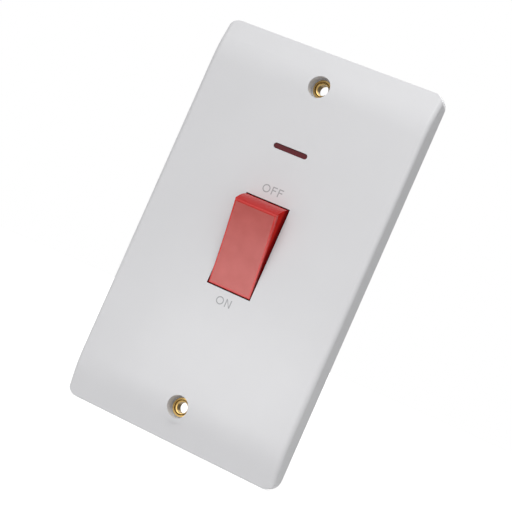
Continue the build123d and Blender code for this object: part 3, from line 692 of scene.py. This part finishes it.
def wind_spring(pole, settings, material):
    """A coil in the rocker's tube; the spring shortens as its plunger is pushed in, which this coil of
    fixed length does not show.
    """
    joint = joint_row(f"plunger_{pole}_slide")
    axis = Vector(joint["axis"]).normalized()
    low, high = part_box(f"plunger_spring_{pole}")
    middle = (low + high) / 2
    vertices = frame["nodes"][f"plunger_spring_{pole}"].data.vertices
    points = [vertex.co - middle for vertex in vertices]
    heights = [point.dot(axis) for point in points]
    front, rear = min(heights), max(heights)
    outer_radius = max((point - axis * height).length for point, height in zip(points, heights))
    wire_radius = settings.wire_radius
    mesh = coil(
        origin=middle + axis * (front + wire_radius),
        axis=axis,
        radius=outer_radius - wire_radius,
        wire_radius=wire_radius,
        length=rear - front - 2 * wire_radius,
        turns=settings.turns,
    )
    piece = add_piece(f"spring_coil_{pole}", mesh, material)
    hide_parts(f"plunger_spring_{pole}")
    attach(piece, "rocker")
    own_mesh(piece)


# Operators


class DressPlate(bpy.types.Operator):
    """Finish the moulded plate"""

    bl_idname = "switch.dress_plate"
    bl_label = "Plate"

    def execute(self, context):
        settings = context.scene.switch_plate
        dress(moulded_urea(settings.plate, settings.opening), "front_plate")
        return {"FINISHED"}


class PrintLettering(bpy.types.Operator):
    """Print OFF above the rocker and ON below it"""

    bl_idname = "switch.print_lettering"
    bl_label = "Lettering"

    def execute(self, context):
        settings = context.scene.switch_lettering
        ink = printed_ink(context.scene.switch_plate.ink)
        middle = plate_opening()[1] + settings.clearance + settings.cap_height / 2
        print_word("OFF", "off_lettering", middle, settings, ink)
        print_word("ON", "on_lettering", -middle, settings, ink)
        return {"FINISHED"}


class DressRocker(bpy.types.Operator):
    """Finish the rocker"""

    bl_idname = "switch.dress_rocker"
    bl_label = "Rocker"

    def execute(self, context):
        dress(sparked_polycarbonate(context.scene.switch_rocker), "rocker")
        return {"FINISHED"}


class DressWindow(bpy.types.Operator):
    """Finish the neon window's lens"""

    bl_idname = "switch.dress_window"
    bl_label = "Neon window"

    def execute(self, context):
        dress(tinted_lens(context.scene.switch_rocker.lens), "neon_lens")
        return {"FINISHED"}


class DressEyelets(bpy.types.Operator):
    """Finish the brass eyelets of the fixing holes"""

    bl_idname = "switch.dress_eyelets"
    bl_label = "Eyelets"

    def execute(self, context):
        low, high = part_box("top_eyelet")
        brass = turned_brass(context.scene.switch_plate.brass, (low.z + high.z) / 2)
        dress(brass, "top_eyelet", "bottom_eyelet")
        return {"FINISHED"}


class DressMechanism(bpy.types.Operator):
    """Finish the moulded base, its screws and its terminals"""

    bl_idname = "switch.dress_mechanism"
    bl_label = "Mechanism"

    def execute(self, context):
        # The same painted shade and painted red reflection as on the walls of the plate's opening.
        cavity_shade = context.scene.switch_plate.opening
        dress(moulded_nylon("glass_filled_nylon", linear("D9D9D5"), cavity_shade=cavity_shade), "mechanism_base")
        dress(plated_steel(linear("C4C7CB")), "base_screws")
        sawn = rolled_metal("sawn_brass", linear("C99B52"), 0.28)
        for pole in POLES:
            dress(sawn, f"load_terminal_{pole}", f"supply_terminal_{pole}")
        dress(rolled_metal("slotted_brass", linear("D0A45C"), 0.24, along=(1, 12, 1)), "terminal_screws")
        return {"FINISHED"}


class DressContacts(bpy.types.Operator):
    """Finish the plungers, blades and contacts"""

    bl_idname = "switch.dress_contacts"
    bl_label = "Contacts"

    def execute(self, context):
        acetal = moulded_nylon("turned_acetal", linear("ECE8DC"), speck=0.3)
        bronze = rolled_metal("pressed_bronze", linear("C88E5A"), 0.3)
        silver = rolled_metal("coined_silver", linear("DCDCD8"), 0.25, along=(1, 1, 1))
        strip = rolled_metal("pressed_brass", linear("CDA157"), 0.28)
        for pole in POLES:
            dress(acetal, f"plunger_{pole}")
            dress(bronze, f"blade_{pole}")
            dress(silver, f"blade_tip_{pole}", f"fixed_tip_{pole}")
            dress(strip, f"fixed_contact_{pole}", f"fulcrum_bracket_{pole}")
        return {"FINISHED"}


class WindSprings(bpy.types.Operator):
    """Wind the springs behind the plungers"""

    bl_idname = "switch.wind_springs"
    bl_label = "Springs"

    def execute(self, context):
        steel = rolled_metal("drawn_spring_wire", linear("A9ABAE"), 0.3, along=(1, 1, 4))
        for pole in POLES:
            wind_spring(pole, context.scene.switch_springs, steel)
        return {"FINISHED"}


class DressIndicator(bpy.types.Operator):
    """Finish the neon lamp, its holder, resistor and leads"""

    bl_idname = "switch.dress_indicator"
    bl_label = "Indicator"

    def execute(self, context):
        dress(moulded_nylon("natural_nylon", linear("E4E2DA")), "neon_holder")
        dress(lamp_glass(), "neon_lamp")
        dress(lacquered_ceramic(), "neon_resistor")
        sleeve = extruded_sleeve(linear("DEDEDA"))
        dress(sleeve, "neon_lead_live", "neon_lead_neutral", "neon_tail")
        return {"FINISHED"}


class DressEarth(bpy.types.Operator):
    """Finish the earth strap, its terminal and its screw"""

    bl_idname = "switch.dress_earth"
    bl_label = "Earth link"

    def execute(self, context):
        dress(rolled_metal("rolled_brass_strip", linear("CFA45A"), 0.26), "earth_strap")
        dress(rolled_metal("sawn_brass_block", linear("C99B52"), 0.28), "earth_terminal")
        dress(rolled_metal("turned_brass_screw", linear("D0A45C"), 0.24, along=(1, 12, 1)), "earth_screw")
        return {"FINISHED"}


class BuildStage(bpy.types.Operator):
    """Lay the floor, set the lamps and place the camera"""

    bl_idname = "switch.build_stage"
    bl_label = "Stage"

    def execute(self, context):
        settings = context.scene.switch_studio
        lay_floor(settings, cad_box[0].z)
        light_studio(settings)
        set_cards()
        place_camera(context.scene)
        context.scene.view_settings.view_transform = "Standard"
        return {"FINISHED"}


def lay_floor(settings, height):
    """A round floor of matt paper under the object."""
    mesh = bmesh.new()
    bmesh.ops.create_circle(mesh, cap_ends=True, segments=96, radius=settings.floor_radius)
    bmesh.ops.translate(mesh, vec=(0, 0, height), verts=mesh.verts)
    add_piece("studio_floor", mesh, studio_paper(settings.floor, settings.floor_lift))


# Each card's middle and two half sides in metres, its brightness, and whether it shades the object
CARDS = {
    "right_flag": ((0.50, 0.35, 0.10), (0.0, 0.40, 0.0), (0.0, 0.0, 0.25), 0.0, True),
    "left_flag": ((-0.17, -0.12, 0.10), (0.0, 0.11, 0.0), (0.0, 0.0, 0.11), 0.0, True),
    "floor_flag": ((-0.07, -0.23, -0.072), (0.16, 0.0, 0.0), (0.0, 0.11, 0.0), 0.0, False),
    "low_reflector": ((-0.006, -0.060, -0.044), (0.038, 0.0, 0.0), (0.0, 0.0, 0.022), 2.8, False),
    "top_hole_card": ((0.008, 0.032, 0.060), (0.022, 0.0, 0.0), (0.0, 0.0, 0.015), 0.25, False),
    "bottom_hole_card": ((0.008, 0.032, -0.060), (0.022, 0.0, 0.0), (0.0, 0.0, 0.015), 0.25, False),
}


SQUARE = ((-1, -1), (1, -1), (1, 1), (-1, 1))


def set_cards():
    """Cards out of the camera's sight: black ones darken the sides, a bright one shines in the rocker."""
    for name, (middle, along, across, brightness, shading) in CARDS.items():
        card, tree = empty_material(name)
        if brightness:
            face = node(tree, "ShaderNodeEmission", {"Strength": brightness})
        else:
            face = node(tree, "ShaderNodeBsdfDiffuse", {"Color": linear("0A0A0A")})
        node(tree, "ShaderNodeOutputMaterial", {"Surface": face.outputs[0]})
        middle, along, across = Vector(middle), Vector(along), Vector(across)
        mesh = bmesh.new()
        corners = [mesh.verts.new(middle + along * a + across * b) for a, b in SQUARE]
        mesh.faces.new(corners)
        piece = add_piece(name, mesh, card)
        piece.visible_camera = False
        piece.visible_diffuse = piece.visible_shadow = shading


def light_studio(settings):
    """An even surround, a large key lamp in front and above, and a weaker one behind."""
    world = bpy.data.worlds.new("studio")
    world.use_nodes = True
    tree = world.node_tree
    tree.nodes.clear()
    level = spread(tree, seen_white(tree), settings.surround, 1)
    sky = node(tree, "ShaderNodeBackground", {"Color": linear("FFFFFF"), "Strength": level})
    node(tree, "ShaderNodeOutputWorld", {"Surface": sky.outputs[0]})
    bpy.context.scene.world = world

    lamps = (
        ("key_lamp", settings.key_level, (0.02, -0.71, 0.70)),
        ("back_lamp", settings.back_level, (-0.22, 0.94, 0.26)),
    )
    for name, level, side in lamps:
        data = bpy.data.lights.new(name, "AREA")
        data.shape = "SQUARE"
        data.size = settings.lamp_size
        # This energy adds the level to a white surface that faces the lamp.
        data.energy = level * math.pi ** 2 * settings.lamp_distance ** 2
        lamp = bpy.data.objects.new(name, data)
        bpy.context.scene.collection.objects.link(lamp)
        towards = Vector(side).normalized()
        lamp.location = towards * settings.lamp_distance
        lamp.rotation_euler = towards.to_track_quat("Z", "Y").to_euler()


def place_camera(scene):
    """The photograph's viewpoint: in front, to the right, with the camera rolled."""
    place = Vector((0.210553, -0.521228, -0.011960))
    forward = Vector((-0.3727588, 0.92775391, 0.01798815))
    right = Vector((0.85115469, 0.33413298, 0.40483434))
    data = bpy.data.cameras.new("photo_camera")
    data.sensor_width = 36.0
    data.lens = 113.28
    camera = bpy.data.objects.new("photo_camera", data)
    scene.collection.objects.link(camera)
    axes = Matrix((right, right.cross(forward), forward * -1)).transposed()
    camera.matrix_world = Matrix.Translation(place) @ axes.to_4x4()
    scene.camera = camera


class SwitchPanel(bpy.types.Panel):
    """Buttons and settings in the sidebar"""

    bl_idname = "VIEW3D_PT_switch"
    bl_label = "Double pole switch"
    bl_space_type = "VIEW_3D"
    bl_region_type = "UI"
    bl_category = "Switch"

    def draw(self, context):
        for group in SETTINGS:
            for name in SETTINGS[group].__annotations__:
                self.layout.prop(getattr(context.scene, group), name)
        for step in STEPS:
            self.layout.operator(step.bl_idname)


SETTINGS = {
    "switch_plate": PlateSettings,
    "switch_rocker": RockerSettings,
    "switch_lettering": LetteringSettings,
    "switch_springs": SpringSettings,
    "switch_studio": StudioSettings,
}
STEPS = (
    DressPlate,
    PrintLettering,
    DressRocker,
    DressWindow,
    DressEyelets,
    DressMechanism,
    DressContacts,
    WindSprings,
    DressIndicator,
    DressEarth,
    BuildStage,
)


def register():
    """Adds the settings, the operators and the panel to Blender."""
    for name, group in SETTINGS.items():
        bpy.utils.register_class(group)
        setattr(bpy.types.Scene, name, bpy.props.PointerProperty(type=group))
    for step in (*STEPS, SwitchPanel):
        bpy.utils.register_class(step)


def unregister():
    """Takes them out again."""
    for step in (SwitchPanel, *reversed(STEPS)):
        bpy.utils.unregister_class(step)
    for name, group in reversed(SETTINGS.items()):
        delattr(bpy.types.Scene, name)
        bpy.utils.unregister_class(group)


def main():
    """Builds everything in order."""
    register()
    for step in STEPS:
        category, name = step.bl_idname.split(".")
        getattr(getattr(bpy.ops, category), name)()


if __name__ == "__main__":
    main()
